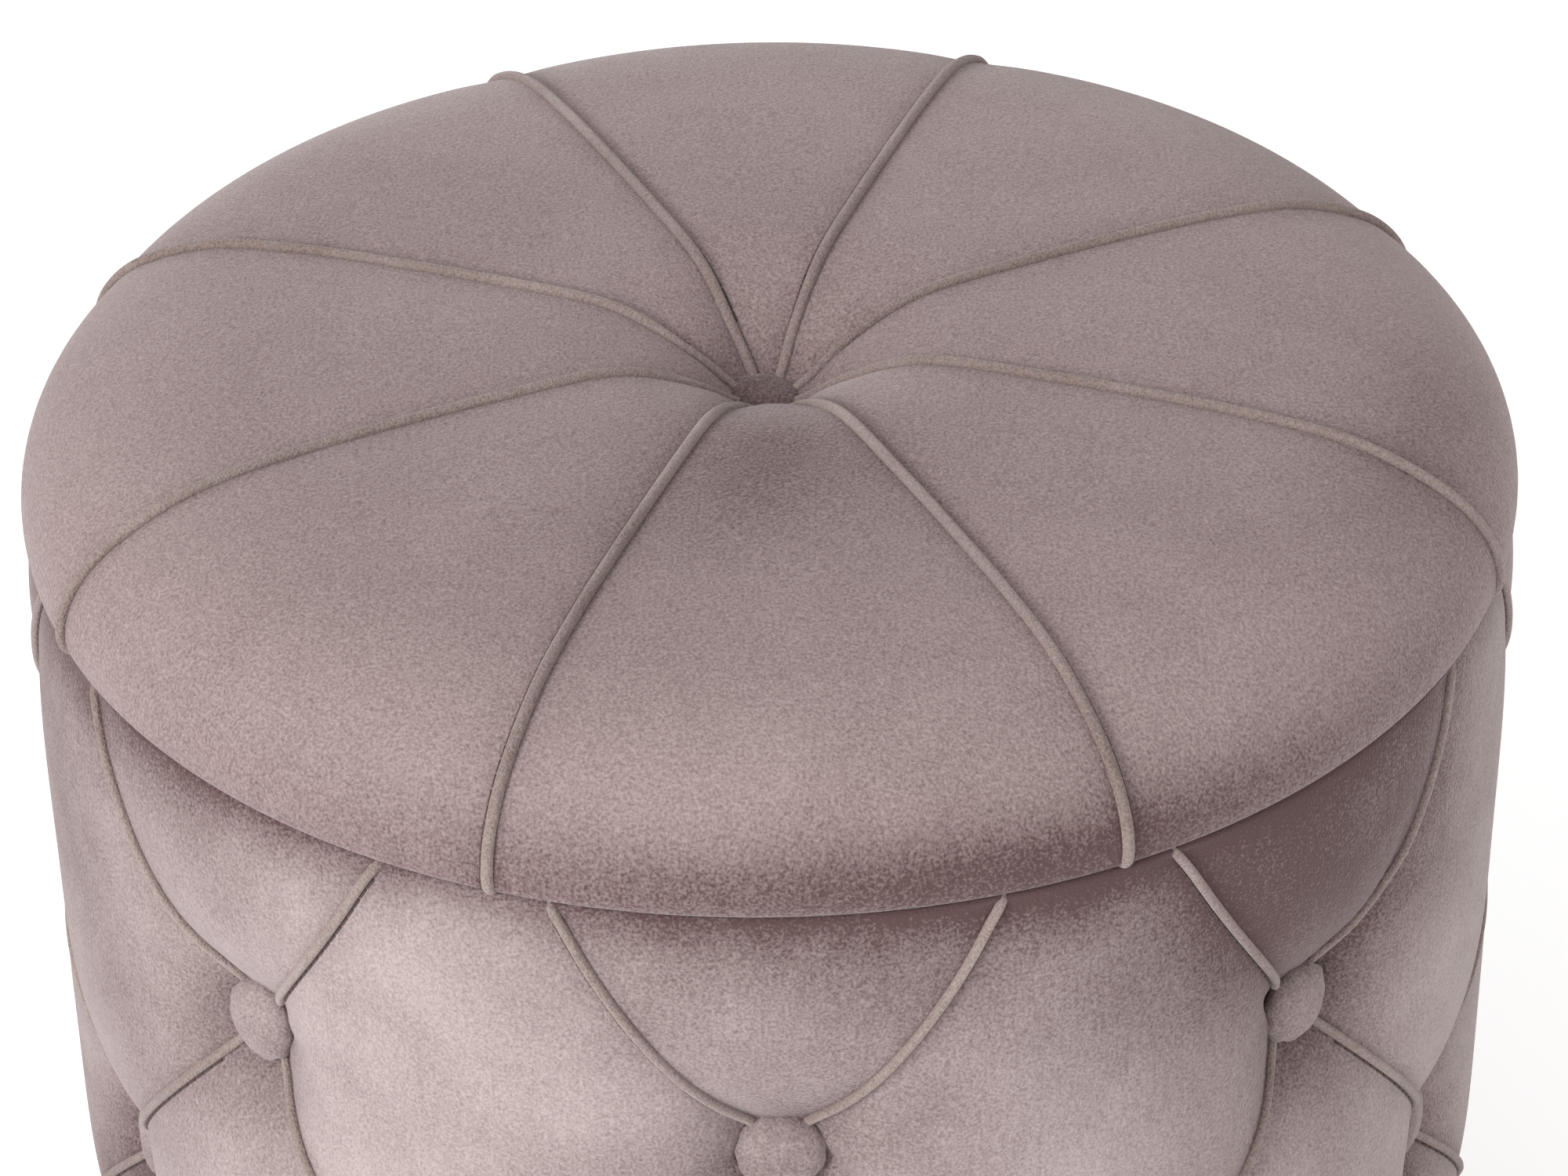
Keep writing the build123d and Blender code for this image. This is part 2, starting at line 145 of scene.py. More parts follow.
def velvet_pile_group():
    """Colour and bump height of velvet from the lean of its pile, with the painted light and shade carried
    in it, and its place on the piece.
    """
    group = bpy.data.node_groups.new("velvet_pile", "ShaderNodeTree")
    for name in ("Laid Tone", "Raised Tone"):
        group.interface.new_socket(name, in_out="INPUT", socket_type="NodeSocketColor")
    for name in ("Nap and Shade", "Patchiness", "Pile Scale"):
        group.interface.new_socket(name, in_out="INPUT", socket_type="NodeSocketFloat")
    group.interface.new_socket("Colour", in_out="OUTPUT", socket_type="NodeSocketColor")
    group.interface.new_socket("Height", in_out="OUTPUT", socket_type="NodeSocketFloat")
    link = group.links.new
    entry = node(group, "NodeGroupInput", (-1400, 0))
    leave = node(group, "NodeGroupOutput", (800, 0))
    place = node(group, "ShaderNodeTexCoord", (-1400, -300))
    upright = node(group, "ShaderNodeVectorMath", (-1150, -500))
    upright.operation = "MULTIPLY"
    upright.inputs[1].default_value = (1.0, 1.0, 0.12)
    link(place.outputs["Object"], upright.inputs[0])
    patches = node(group, "ShaderNodeTexNoise", (-900, 300), Scale=11.0, Detail=3.0, Distortion=0.8)
    brushed = node(group, "ShaderNodeTexNoise", (-900, 50), Scale=60.0, Detail=3.0, Roughness=0.55)
    streaks = node(group, "ShaderNodeTexNoise", (-900, -200), Scale=700.0, Detail=2.0, Roughness=0.6)
    pile = node(group, "ShaderNodeTexNoise", (-900, -450), Detail=2.0, Roughness=0.6)
    for texture in (patches, brushed, pile):
        link(place.outputs["Object"], texture.inputs["Vector"])
    link(upright.outputs["Vector"], streaks.inputs["Vector"])
    link(entry.outputs["Pile Scale"], pile.inputs["Scale"])
    broad = math_node(group, "MULTIPLY_ADD", (-650, 300), patches.outputs["Fac"], 2.2, -1.1)
    middle = math_node(group, "MULTIPLY_ADD", (-500, 200), brushed.outputs["Fac"], 0.7, broad)
    uneven = math_node(group, "SUBTRACT", (-350, 200), middle, 0.35)
    patchiness, nap_and_shade = entry.outputs["Patchiness"], entry.outputs["Nap and Shade"]
    patchy = math_node(group, "MULTIPLY_ADD", (-200, 200), uneven, patchiness, nap_and_shade)
    streaked = math_node(group, "MULTIPLY_ADD", (-50, 100), streaks.outputs["Fac"], 0.20, patchy)
    tufted = math_node(group, "MULTIPLY_ADD", (100, 0), pile.outputs["Fac"], 1.15, streaked)
    level = math_node(group, "SUBTRACT", (250, 0), tufted, 0.675, clamp=True)
    tone = node(group, "ShaderNodeMix", (450, 100))
    tone.data_type = "RGBA"
    link(level, tone.inputs["Factor"])
    link(entry.outputs["Laid Tone"], tone.inputs["A"])
    link(entry.outputs["Raised Tone"], tone.inputs["B"])
    link(tone.outputs["Result"], leave.inputs["Colour"])
    height = math_node(group, "MULTIPLY_ADD", (450, -200), streaks.outputs["Fac"], 0.2, pile.outputs["Fac"])
    link(height, leave.inputs["Height"])
    return group


velvet_pile = velvet_pile_group()


def velvet_material(name, laid, raised, nap_and_shade=None, patchiness=0.30, relief=0.0005, pile_scale=1100.0):
    """Velvet. Its nap, the pile's lean with any painted light and shade, is one number, or where none is
    given the cushion's own nap attribute.
    """
    material = plain_material(name, raised, 0.88)
    tree = material.node_tree
    shader = tree.nodes["Principled BSDF"]
    shader.inputs["Sheen Weight"].default_value = 0.40
    shader.inputs["Sheen Roughness"].default_value = 0.35
    shader.inputs["Sheen Tint"].default_value = (0.96, 0.90, 0.90, 1)
    shader.inputs["Specular IOR Level"].default_value = 0.15
    cloth = node(tree, "ShaderNodeGroup", (-500, 0))
    cloth.node_tree = velvet_pile
    cloth.inputs["Laid Tone"].default_value = (*laid, 1)
    cloth.inputs["Raised Tone"].default_value = (*raised, 1)
    cloth.inputs["Patchiness"].default_value = patchiness
    cloth.inputs["Pile Scale"].default_value = pile_scale
    if nap_and_shade is None:
        painted = node(tree, "ShaderNodeAttribute", (-800, 0))
        painted.attribute_name = "nap_and_shade"
        tree.links.new(painted.outputs["Fac"], cloth.inputs["Nap and Shade"])
    else:
        cloth.inputs["Nap and Shade"].default_value = nap_and_shade
    tree.links.new(cloth.outputs["Colour"], shader.inputs["Base Color"])
    bump = node(tree, "ShaderNodeBump", (-250, -250), Strength=1.0, Distance=relief)
    tree.links.new(cloth.outputs["Height"], bump.inputs["Height"])
    tree.links.new(bump.outputs["Normal"], shader.inputs["Normal"])
    return material


laid_mauve = (0.098, 0.058, 0.057)
raised_mauve = (0.435, 0.360, 0.352)
drum_velvet = velvet_material("drum_velvet", laid_mauve, raised_mauve, patchiness=0.36)
lid_velvet = velvet_material("lid_velvet", laid_mauve, (0.450, 0.357, 0.349), patchiness=0.13)


def paint_nap_and_shade(piece, values):
    """Stores the lean of the pile, with painted light and shade added in, at each point of a piece, from 0,
    laid down and dark, to 1.
    """
    lean = piece.data.attributes.new("nap_and_shade", "FLOAT", "POINT")
    lean.data.foreach_set("value", np.asarray(values, np.float32).ravel())


def bump_at(value, centre, width):
    """1 at the centre, falling smoothly to 0 over about twice the width."""
    return np.exp(-(((value - centre) / width) ** 2))


# The drum's upholstery: foam under a velvet cover, turned in over the rim and under the base.
# Eight columns of buttons pull it in, and piped seams cross from button to button. The panels
# between the seams are inflated as cloth, held at the seams and buttons.
columns = 8
half_steps = 20  # mesh steps in half a column, and between two rows of buttons
edge_steps = 14  # mesh steps from the first row to the rim, and from the last row to the hem
around = 2 * half_steps * columns
cap_low, cap_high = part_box("body_button_caps")
button_radius = (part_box("lid_button_cap")[1][0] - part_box("lid_button_cap")[0][0]) / 2
row_z = [cap_high[2] - button_radius, (cap_low[2] + cap_high[2]) / 2, cap_low[2] + button_radius]
hem_z, rim_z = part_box("body_cover")[0][2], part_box("body_cover")[1][2]
rim_round = 0.0032
cover_radius = 0.2215
rim_radius = 0.2182
button_seat = 0.2038  # distance of a button's seat from the drum's axis
edge_lean = math.radians(15.5)  # a seam's turn from its button where it meets the rim
edge_bow = 0.28  # how much an edge seam bows out on its way there
step_angle = math.pi / (columns * half_steps)
mid_rows = 2 * half_steps
row_index = [edge_steps, edge_steps + half_steps, edge_steps + mid_rows]
last_row = 2 * edge_steps + mid_rows


def row_height(row):
    """Height of a ring of the drum's mesh, counted down from the rim."""
    if row <= row_index[0]:
        top = rim_z - rim_round
        return top + (row_z[0] - top) * row / edge_steps
    if row >= row_index[2]:
        bottom = hem_z + rim_round
        return row_z[2] + (bottom - row_z[2]) * (row - row_index[2]) / edge_steps
    return row_z[0] + (row_z[2] - row_z[0]) * (row - row_index[0]) / mid_rows


def seam_bend(row, angle):
    """Turns the straight seams of the edge panels into the curve that they take up to the edge."""
    beyond = max(row_index[0] - row, row - row_index[2], 0)
    if not beyond:
        return angle
    share = beyond / edge_steps
    straight = beyond * step_angle
    curved = edge_lean * share * (1 + edge_bow * (1 - share))
    column = 2 * math.pi / columns
    nearest = round(angle / column) * column
    offset = angle - nearest
    if abs(offset) <= straight:
        bent = offset * curved / straight
    else:
        half = column / 2
        spread = (half - curved) / (half - straight)
        bent = math.copysign(curved + (abs(offset) - straight) * spread, offset)
    return nearest + bent


drum_buttons = []
for row, height in enumerate(row_z):
    for column in range(columns):
        drum_buttons.append((2 * math.pi * (column + (0.5 if row == 1 else 0)) / columns, height))


def seam_points():
    """Mesh steps (around, down) along each seam, a list for each run between buttons or edges."""
    runs = []
    for column in range(columns):
        middle = 2 * half_steps * column
        for side in (-1, 1):
            for first, up_steps, down_steps in (
                (row_index[0], edge_steps, half_steps),
                (row_index[2], half_steps, edge_steps),
            ):
                for way, steps in ((-1, up_steps), (1, down_steps)):
                    run = [(middle + side * step, first + way * step) for step in range(steps + 1)]
                    runs.append([(across % around, down) for across, down in run])
    return runs


drum_seams = seam_points()
drum_angle = np.zeros((last_row + 1, around))
drum_height = np.zeros((last_row + 1, around))
for row in range(last_row + 1):
    drum_height[row] = row_height(row)
    drum_angle[row] = [seam_bend(row, step_angle * step) for step in range(around)]


def wrapped(angle):
    return (angle + math.pi) % (2 * math.pi) - math.pi


def from_buttons(angle, height):
    """Distance of points on the drum from the nearest button."""
    nearest = np.full(angle.shape, 1e9)
    for button_angle, button_height in drum_buttons:
        aside = wrapped(angle - button_angle) * cover_radius
        nearest = np.minimum(nearest, np.hypot(aside, height - button_height))
    return nearest


def from_seams(angle, height):
    """Distance of points on the drum from the nearest seam."""
    nearest = np.full(angle.shape, 1e9)
    for run in drum_seams:
        for (i0, j0), (i1, j1) in zip(run[:-1], run[1:]):
            a0, h0 = drum_angle[j0, i0], drum_height[j0, i0]
            a1, h1 = drum_angle[j1, i1], drum_height[j1, i1]
            x = wrapped(angle - a0) * cover_radius
            y = height - h0
            dx, dy = wrapped(a1 - a0) * cover_radius, h1 - h0
            share = np.clip((x * dx + y * dy) / (dx * dx + dy * dy), 0, 1)
            nearest = np.minimum(nearest, np.hypot(x - share * dx, y - share * dy))
    return nearest


button_gap = from_buttons(drum_angle, drum_height)
seam_gap = from_seams(drum_angle, drum_height)
dimple_depth = cover_radius - button_seat
dimple_reach, groove_reach, edge_reach = 0.024, 0.008, 0.012
dimple = dimple_depth * np.exp(-((button_gap / dimple_reach) ** 1.5))
groove_depth = 0.0018 + 0.0065 * np.exp(-((button_gap / 0.036) ** 2))  # deeper near a button
groove = groove_depth * np.exp(-seam_gap / groove_reach)
edge_gap = np.minimum(rim_z - rim_round - drum_height, drum_height - hem_z - rim_round)
edge_pull = (cover_radius - rim_radius) * np.exp(-edge_gap / edge_reach)
drum_radius = cover_radius - np.minimum(dimple + groove, dimple_depth) - edge_pull

# Rings of the closed form: up the turned-in edge, over the rim, down the outside, under the hem,
# and back up the foam's inner wall.
panel_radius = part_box("frame_panel")[1][0]
turned_in_low = rim_z - 0.017
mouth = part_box("storage_liner")[1][0]
cloth_thickness = 0.0012


def arc(centre, radius, start, end, steps):
    """Points (radius, height) on a quarter round."""
    turns = [math.radians(start + (end - start) * step / steps) for step in range(steps + 1)]
    return [(centre[0] + radius * math.cos(turn), centre[1] + radius * math.sin(turn)) for turn in turns]


mouth_round = 0.0012
over_rim = [(mouth + cloth_thickness, turned_in_low), (mouth, turned_in_low + 0.0004)]
over_rim.append((mouth, turned_in_low + 0.008))
over_rim += arc((mouth + mouth_round, rim_z - mouth_round), mouth_round, 180, 90, 3)
over_rim += [(mouth + 0.012, rim_z), (panel_radius, rim_z)]
over_rim += arc((rim_radius - rim_round, rim_z - rim_round), rim_round, 90, 0, 4)[:-1]
under_hem = arc((rim_radius - rim_round, hem_z + rim_round), rim_round, 0, -90, 4)[1:]
under_hem += [(panel_radius, hem_z), (0.180, hem_z), (0.1604, hem_z), (0.160, hem_z + cloth_thickness)]
under_hem += [(panel_radius, hem_z + cloth_thickness), (panel_radius, 0.140), (panel_radius, 0.260)]
under_hem += [(panel_radius, rim_z - cloth_thickness), (mouth + cloth_thickness, rim_z - cloth_thickness)]


def ring(radius, height, angle):
    return np.stack([radius * np.sin(angle), -radius * np.cos(angle), height + 0 * angle], axis=-1)


drum_rings = [ring(radius, height, drum_angle[0]) for radius, height in over_rim]
first_outer = len(drum_rings)
for points in drum_rings[3:first_outer]:  # small gathers where the cover turns into the mouth
    radii = np.hypot(points[:, 0], points[:, 1])
    gathered = bump_at(radii, mouth, 0.012) * (0.6 + 0.4 * np.sin(3 * drum_angle[0] + 1.1))
    points[:, 2] -= 0.0005 * gathered * (1 + np.sin(40 * drum_angle[0] + 2 * np.sin(5 * drum_angle[0])))
for row in range(last_row + 1):
    drum_rings.append(ring(drum_radius[row], drum_height[row], drum_angle[row]))
drum_rings += [ring(radius, height, drum_angle[-1]) for radius, height in under_hem]


def tube_of_rings(rings, closed):
    """Points and faces of a skin through rings with equal numbers of points, faces outwards."""
    count = len(rings[0])
    faces = []
    for row in range(len(rings) - (0 if closed else 1)):
        below = (row + 1) % len(rings)
        for step in range(count):
            aside = (step + 1) % count
            upper, lower = row * count, below * count
            faces.append((upper + step, lower + step, lower + aside, upper + aside))
    return np.concatenate(rings), faces


def close_ends(faces, count, rings):
    """Closes both ends of an open tube of rings with rows of quads across them."""
    last = (rings - 1) * count
    for step in range(count // 2 - 1):
        opposite = count - 1 - step
        faces.append((step, step + 1, opposite - 1, opposite))
        faces.append((last + opposite, last + opposite - 1, last + step + 1, last + step))


drum_points, drum_faces = tube_of_rings(drum_rings, closed=True)
drum_cover = mesh_piece("drum_upholstery", drum_points, drum_faces, drum_velvet)


def mesh_points(piece):
    points = np.empty(len(piece.data.vertices) * 3)
    piece.data.vertices.foreach_get("co", points)
    return points.reshape(-1, 3)


def move_points(piece, points):
    piece.data.vertices.foreach_set("co", points.ravel())
    piece.data.update()


def inflated(piece, held, pressure, most):
    """Swells a piece as cloth with its held points still, and caps how far the others move."""
    start = mesh_points(piece)
    pins = piece.vertex_groups.new(name="held")
    pins.add([int(index) for index in np.flatnonzero(held)], 1.0, "REPLACE")
    cloth = piece.modifiers.new("cloth", "CLOTH")
    cloth.settings.vertex_group_mass = "held"
    cloth.settings.use_pressure = True
    cloth.settings.uniform_pressure_force = pressure
    cloth.settings.effector_weights.gravity = 0
    cloth.settings.tension_stiffness = 5
    cloth.settings.compression_stiffness = 5
    cloth.settings.bending_stiffness = 0.2
    cloth.settings.mass = 0.25
    cloth.settings.quality = 6
    cloth.collision_settings.use_collision = False
    frames = 20
    cloth.point_cache.frame_start = 1
    cloth.point_cache.frame_end = frames
    for step in range(1, frames + 1):
        scene.frame_set(step)
    after = mesh_points(piece.evaluated_get(bpy.context.evaluated_depsgraph_get()))
    piece.modifiers.remove(cloth)
    scene.frame_set(1)
    move = after - start
    length = np.linalg.norm(move, axis=1, keepdims=True)
    capped = move * (most * np.tanh(length / most) / np.maximum(length, 1e-9))
    move_points(piece, start + capped)
    piece.vertex_groups.clear()


held_reach = 0.0125  # how far round its middle a button holds the cover still
held_steps = np.zeros((len(drum_rings), around), bool)
held_steps[: first_outer + 1] = True
held_steps[first_outer + last_row :] = True
for run in drum_seams:
    for across, down in run:
        held_steps[first_outer + down, across] = True
held_steps[first_outer : first_outer + last_row + 1] |= button_gap < held_reach
inflated(drum_cover, held_steps.ravel(), 30.0, 0.004)


def subdivided(piece):
    """Applies one level of subdivision."""
    smooth = piece.modifiers.new("smooth", "SUBSURF")
    smooth.levels = smooth.render_levels = 1
    mesh = bpy.data.meshes.new_from_object(piece.evaluated_get(bpy.context.evaluated_depsgraph_get()))
    piece.modifiers.remove(smooth)
    old = piece.data
    piece.data = mesh
    mesh.name = piece.name
    bpy.data.meshes.remove(old)


# The drum's nap and painted light and shade: painted light at the front left, where the key light
# falls; dark at the right, the pile's lean with painted shade on the side turned from that light; darker
# below the lid, with a painted shadow right under its edge; painted shade along the seams, in the
# buttons' dimples and on the rounding of the rim.
from_front = wrapped(drum_angle)
below_rim = rim_z - drum_height
nap_and_shade_marks = [  # how much lighter or darker, at what angle, how wide, how far below the rim, how deep
    # Dark at the right, the pile's lean with painted shade away from the key light; darker just below the
    # lid at the front right and the front; lighter low at the right.
    (-0.56, 0.80, 0.30, 0.028, 0.050),
    (-0.34, 0.36, 0.30, 0.004, 0.026),
    (-0.34, 0.00, 0.20, 0.012, 0.036),
    (0.27, 0.40, 0.22, 0.100, 0.045),
]
# Painted light at the front left, where the key light falls, kept off the band just below the rim.
drum_nap_and_shade = 0.555 + 0.15 * bump_at(from_front, -0.55, 0.60) * (1 - bump_at(below_rim, 0.0, 0.018))
for amount, side, width, drop, depth in nap_and_shade_marks:
    drum_nap_and_shade += amount * bump_at(from_front, side, width) * bump_at(below_rim, drop, depth)
# Lighter in a band low on the drum; a painted shadow of the lid's edge in a narrow band just below the rim.
drum_nap_and_shade += 0.10 * bump_at(below_rim, 0.16, 0.06) - 0.30 * bump_at(below_rim, 0.0, 0.009)
drum_nap_and_shade -= 0.24 * bump_at(from_front, -1.2, 0.4)
# Painted shade in the grooves beside the seams, deeper on the right, away from the key light.
drum_nap_and_shade -= 0.20 * np.exp(-seam_gap / 0.006) * (0.7 + 0.3 * np.sin(from_front))
# Painted shade in the buttons' dimples.
drum_nap_and_shade -= 0.50 * bump_at(button_gap, 0.0, 0.022)
all_drum_nap_and_shade = np.full((len(drum_rings), around), 0.45)
all_drum_nap_and_shade[first_outer : first_outer + last_row + 1] = drum_nap_and_shade
# Painted shade on the rounding of the rim, darker than the drum's top ring, against the light that the
# rounding catches.
all_drum_nap_and_shade[first_outer - 5 : first_outer] = drum_nap_and_shade[0] - 0.08  # the rounding of the rim
paint_nap_and_shade(drum_cover, all_drum_nap_and_shade)
subdivided(drum_cover)


def tension_creases(points):
    """Draws the cover in along short creases that run sideways and upwards from each button."""
    angle = np.arctan2(points[:, 0], -points[:, 1])
    outside = np.hypot(points[:, 0], points[:, 1]) > panel_radius + 0.004
    outside &= (points[:, 2] < rim_z - rim_round) & (points[:, 2] > hem_z + rim_round)
    chance = np.random.default_rng(7)
    sink = np.zeros(len(points))
    for button_angle, button_height in drum_buttons:
        aside = wrapped(angle - button_angle) * cover_radius
        above = points[:, 2] - button_height
        for heading in (0, 180, 90, 270):
            sideways = heading in (0, 180)
            turn = math.radians(heading + chance.uniform(-9, 9))
            reach = chance.uniform(0.032, 0.050) if sideways else chance.uniform(0.018, 0.028)
            depth = chance.uniform(0.0038, 0.0058) if sideways else chance.uniform(0.0012, 0.0022)
            along = aside * math.cos(turn) + above * math.sin(turn)
            off = -aside * math.sin(turn) + above * math.cos(turn)
            off = off - chance.uniform(-1.5, 1.5) * along**2 / 0.05
            width = 0.0022 + 0.10 * np.clip(along, 0, None)
            fade = np.clip(1 - along / reach, 0, 1) ** 1.5 * np.clip(along / 0.010, 0, 1)
            sink = np.maximum(sink, depth * fade * np.exp(-((off / width) ** 2)))
    inward = np.stack([-np.sin(angle), np.cos(angle), 0 * angle], axis=1)
    return points + inward * (sink * outside)[:, None]


move_points(drum_cover, tension_creases(mesh_points(drum_cover)))
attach(drum_cover, "drum")
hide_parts("body_cover", "body_padding")

# Piping: a cord wrapped in the cover's velvet and caught in each seam, with a row of small dark
# stitches along its lower side, long and thick enough to paint the shadow line at the piping's foot.
# On the drum it runs from button to button and dives in at the edges.


def grained_material(name, dark, light, roughness, scale, stretch, relief=0.0002):
    """A material of two mixed tones, its grain scaled along each axis."""
    material = plain_material(name, light, roughness)
    tree = material.node_tree
    shader = tree.nodes["Principled BSDF"]
    place = node(tree, "ShaderNodeTexCoord", (-1200, 0))
    stretched = node(tree, "ShaderNodeVectorMath", (-950, 0))
    stretched.operation = "MULTIPLY"
    stretched.inputs[1].default_value = stretch
    grain = node(tree, "ShaderNodeTexNoise", (-700, 0), Scale=scale, Detail=5.0, Roughness=0.6)
    tone = node(tree, "ShaderNodeMix", (-350, 100))
    tone.data_type = "RGBA"
    tone.inputs["A"].default_value = (*dark, 1)
    tone.inputs["B"].default_value = (*light, 1)
    bump = node(tree, "ShaderNodeBump", (-350, -250), Strength=0.5, Distance=relief)
    tree.links.new(place.outputs["Object"], stretched.inputs[0])
    tree.links.new(stretched.outputs["Vector"], grain.inputs["Vector"])
    tree.links.new(grain.outputs["Fac"], tone.inputs["Factor"])
    tree.links.new(tone.outputs["Result"], shader.inputs["Base Color"])
    tree.links.new(grain.outputs["Fac"], bump.inputs["Height"])
    tree.links.new(bump.outputs["Normal"], shader.inputs["Normal"])
    return material


welt_laid, welt_raised = (0.150, 0.102, 0.090), (0.430, 0.352, 0.330)
welt_velvet = velvet_material("piping_velvet", welt_laid, welt_raised, 0.47, 0.40, 0.0008, 1300.0)
# Dark thread for the stitches, also standing as a painted shadow line beside the piping.
seam_thread_and_shadow_line = grained_material(
    "seam_thread_and_shadow_line", (0.045, 0.028, 0.025), (0.110, 0.072, 0.064), 0.8, 1800.0, (1, 1, 1), 0.00005
)


def smooth_path(points, spacing):
    """Evenly spaced points on the smooth curve through the given ones."""
    points = np.array(points, float)
    padded = np.concatenate([2 * points[:1] - points[1:2], points, 2 * points[-1:] - points[-2:-1]])
    pieces = []
    for start in range(len(points) - 1):
        p0, p1, p2, p3 = padded[start : start + 4]
        share = np.linspace(0, 1, 12, endpoint=False)[:, None]
        pieces.append(
            0.5 * (2 * p1 + (p2 - p0) * share + (2 * p0 - 5 * p1 + 4 * p2 - p3) * share**2
                   + (3 * p1 - p0 - 3 * p2 + p3) * share**3)
        )
    fine = np.concatenate([*pieces, points[-1:]])
    run = np.concatenate([[0], np.cumsum(np.linalg.norm(np.diff(fine, axis=0), axis=1))])
    even = np.linspace(0, run[-1], max(2, round(run[-1] / spacing) + 1))
    return np.stack([np.interp(even, run, fine[:, axis]) for axis in range(3)], axis=1)


def on_surface(points, surface, lift):
    """Each point moved to the surface and lifted off it."""
    placed, normals = [], []
    for point in points:
        spot, normal, _, _ = surface.find_nearest(Vector(point))
        placed.append(np.array(spot) + np.array(normal) * lift)
        normals.append(np.array(normal))
    return np.array(placed), np.array(normals)


def path_object(name, paths):
    """Open paths as the edges of one mesh."""
    points = np.concatenate(paths)
    edges, start = [], 0
    for path in paths:
        edges += [(start + step, start + step + 1) for step in range(len(path) - 1)]
        start += len(path)
    mesh = bpy.data.meshes.new(name)
    mesh.from_pydata([tuple(point) for point in points], edges, [])
    piece = bpy.data.objects.new(name, mesh)
    scene.collection.objects.link(piece)
    return piece


def node_tree(name, *inputs):
    """An empty geometry tree with the named inputs, and its entry and exit nodes."""
    tree = bpy.data.node_groups.new(name, "GeometryNodeTree")
    tree.interface.new_socket("Geometry", in_out="INPUT", socket_type="NodeSocketGeometry")
    for label, kind in inputs:
        tree.interface.new_socket(label, in_out="INPUT", socket_type=kind)
    tree.interface.new_socket("Geometry", in_out="OUTPUT", socket_type="NodeSocketGeometry")
    return tree, tree.nodes.new("NodeGroupInput"), tree.nodes.new("NodeGroupOutput")


def welt_tree():
    """Round piping along each path."""
    tree, entry, leave = node_tree("welt", ("Radius", "NodeSocketFloat"), ("Cloth", "NodeSocketMaterial"))
    link = tree.links.new
    curve = tree.nodes.new("GeometryNodeMeshToCurve")
    section = tree.nodes.new("GeometryNodeCurvePrimitiveCircle")
    section.inputs["Resolution"].default_value = 10
    skin = tree.nodes.new("GeometryNodeCurveToMesh")
    skin.inputs["Fill Caps"].default_value = True
    smooth = tree.nodes.new("GeometryNodeSetShadeSmooth")
    real = tree.nodes.new("GeometryNodeRealizeInstances")
    paint = tree.nodes.new("GeometryNodeSetMaterial")
    link(entry.outputs["Geometry"], curve.inputs["Mesh"])
    link(entry.outputs["Radius"], section.inputs["Radius"])
    link(curve.outputs["Curve"], skin.inputs["Curve"])
    link(section.outputs["Curve"], skin.inputs["Profile Curve"])
    link(skin.outputs["Mesh"], smooth.inputs["Geometry"])
    link(smooth.outputs["Geometry"], real.inputs["Geometry"])
    link(real.outputs["Geometry"], paint.inputs["Geometry"])
    link(entry.outputs["Cloth"], paint.inputs["Material"])
    link(paint.outputs["Geometry"], leave.inputs["Geometry"])
    return tree


def stitch_tree():
    """Short stitches lying along each path."""
    tree, entry, leave = node_tree(
        "stitches",
        ("Pitch", "NodeSocketFloat"),
        ("Length", "NodeSocketFloat"),
        ("Thickness", "NodeSocketFloat"),
        ("Thread", "NodeSocketMaterial"),
    )
    link = tree.links.new
    curve = tree.nodes.new("GeometryNodeMeshToCurve")
    marks = tree.nodes.new("GeometryNodeCurveToPoints")
    marks.mode = "LENGTH"
    stitch = tree.nodes.new("GeometryNodeMeshCylinder")
    stitch.inputs["Vertices"].default_value = 6
    place = tree.nodes.new("GeometryNodeInstanceOnPoints")
    real = tree.nodes.new("GeometryNodeRealizeInstances")
    smooth = tree.nodes.new("GeometryNodeSetShadeSmooth")
    paint = tree.nodes.new("GeometryNodeSetMaterial")
    link(entry.outputs["Geometry"], curve.inputs["Mesh"])
    link(curve.outputs["Curve"], marks.inputs["Curve"])
    link(entry.outputs["Pitch"], marks.inputs["Length"])
    link(entry.outputs["Thickness"], stitch.inputs["Radius"])
    link(entry.outputs["Length"], stitch.inputs["Depth"])
    turn = tree.nodes.new("FunctionNodeAlignRotationToVector")
    turn.axis = "Z"
    link(marks.outputs["Tangent"], turn.inputs["Vector"])
    link(marks.outputs["Points"], place.inputs["Points"])
    link(stitch.outputs["Mesh"], place.inputs["Instance"])
    link(turn.outputs["Rotation"], place.inputs["Rotation"])
    link(place.outputs["Instances"], real.inputs["Geometry"])
    link(real.outputs["Geometry"], smooth.inputs["Geometry"])
    link(smooth.outputs["Geometry"], paint.inputs["Geometry"])
    link(entry.outputs["Thread"], paint.inputs["Material"])
    link(paint.outputs["Geometry"], leave.inputs["Geometry"])
    return tree


def grown(piece, tree, **values):
    """Runs a geometry tree on a piece and keeps its result as the piece's plain mesh."""
    modifier = piece.modifiers.new(tree.name, "NODES")
    modifier.node_group = tree
    for item in tree.interface.items_tree:
        if item.in_out == "INPUT" and item.name in values:
            modifier[item.identifier] = values[item.name]
    mesh = bpy.data.meshes.new_from_object(piece.evaluated_get(bpy.context.evaluated_depsgraph_get()))
    piece.modifiers.remove(modifier)
    old = piece.data
    piece.data = mesh
    bpy.data.meshes.remove(old)
    mesh.name = piece.name
    return piece


welts = welt_tree()
stitching = stitch_tree()


def lower_side(path, normals):
    """Sideways directions from a path along the surface, all on the side that faces down or back."""
    ahead = np.gradient(path, axis=0)
    aside = np.cross(ahead, normals)
    aside /= np.linalg.norm(aside, axis=1, keepdims=True)
    lean = aside[:, 2].mean() - 0.2 * aside[:, 1].mean()
    return -aside if lean > 0 else aside


path_step = 0.0022


